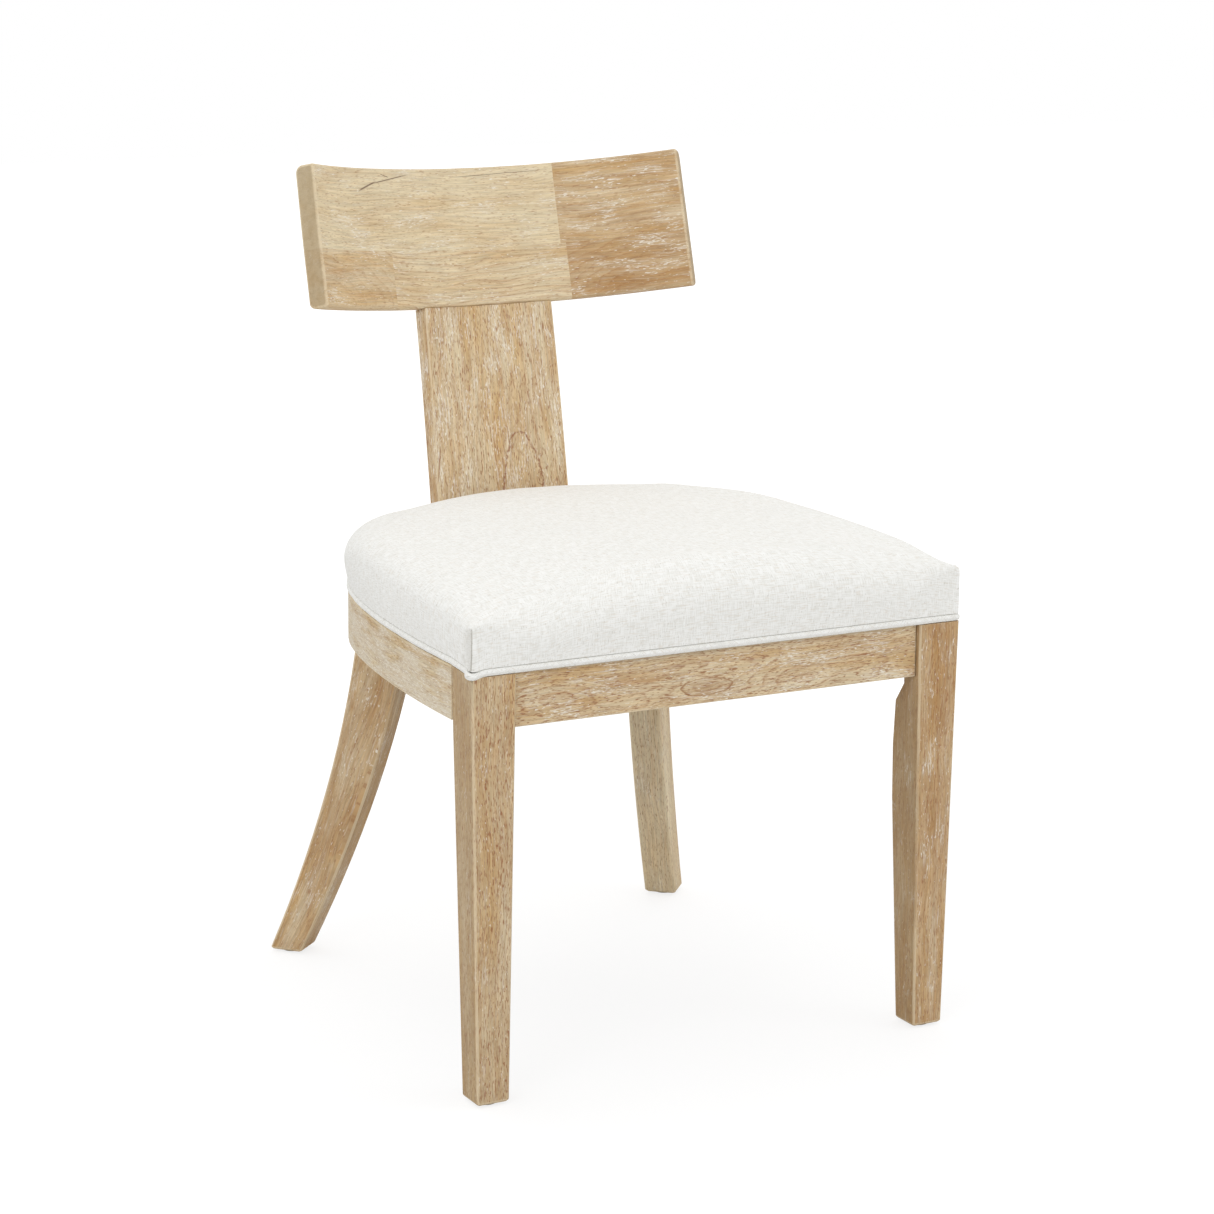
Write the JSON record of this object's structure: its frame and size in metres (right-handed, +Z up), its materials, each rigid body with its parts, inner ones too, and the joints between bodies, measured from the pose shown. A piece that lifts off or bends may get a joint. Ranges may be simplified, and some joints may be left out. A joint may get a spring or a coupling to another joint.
{
  "type": "dining chair",
  "caption": "Dining chair with splayed sabre rear legs, a horseshoe seat frame, a broad back splat, a deep curved crest rail and an upholstered seat with a welt.",
  "frame": {"origin": "on the floor, at the middle of the chair's bounding box", "axes": "+Z up; the sitter faces -Y; +X runs across the chair, and left and right are as seen from in front of it"},
  "size_m": [0.5566, 0.5944, 0.8715],
  "materials": {
    "oak": "limewashed oak, matt, white filler left in the open pores",
    "plywood": "birch plywood, sanded, uncoated",
    "beech": "turned beech, uncoated",
    "linen": "off-white linen weave, slubby, matt",
    "foam": "open-cell seat foam with a wadding skin",
    "cambric": "black non-woven dust cloth",
    "steel": "zinc-plated steel, satin",
    "nylon": "moulded nylon, satin"
  },
  "bodies": {
    "root": {"front_leg_right": "oak", "front_leg_left": "oak", "rear_leg_right": "oak", "rear_leg_left": "oak", "front_rail": "oak", "side_rail_right": "oak", "side_rail_left": "oak", "back_rail": "oak", "back_splat": "oak", "crest_rail": "oak", "corner_block_right": "oak", "corner_block_left": "oak", "back_cleat": "oak", "seat_board": "plywood", "seat_foam": "foam", "seat_cover": "linen", "seat_welt": "linen", "dust_cover": "cambric", "front_glide_right": "nylon", "front_glide_left": "nylon", "rear_glide_right": "nylon", "rear_glide_left": "nylon", "front_dowel_upper_right": "beech", "side_dowel_upper_right": "beech", "back_dowel_upper_right": "beech", "leg_bolt_upper_right": "steel", "front_dowel_upper_left": "beech", "side_dowel_upper_left": "beech", "back_dowel_upper_left": "beech", "leg_bolt_upper_left": "steel", "front_dowel_lower_right": "beech", "side_dowel_lower_right": "beech", "back_dowel_lower_right": "beech", "leg_bolt_lower_right": "steel", "front_dowel_lower_left": "beech", "side_dowel_lower_left": "beech", "back_dowel_lower_left": "beech", "leg_bolt_lower_left": "steel", "block_screw_front_right": "steel", "block_screw_front_left": "steel", "block_screw_side_right": "steel", "block_screw_side_left": "steel", "seat_screw_front_right": "steel", "seat_screw_front_left": "steel", "cleat_screw_right": "steel", "cleat_screw_left": "steel", "seat_screw_back_right": "steel", "seat_screw_back_left": "steel"}
  },
  "joints": []
}
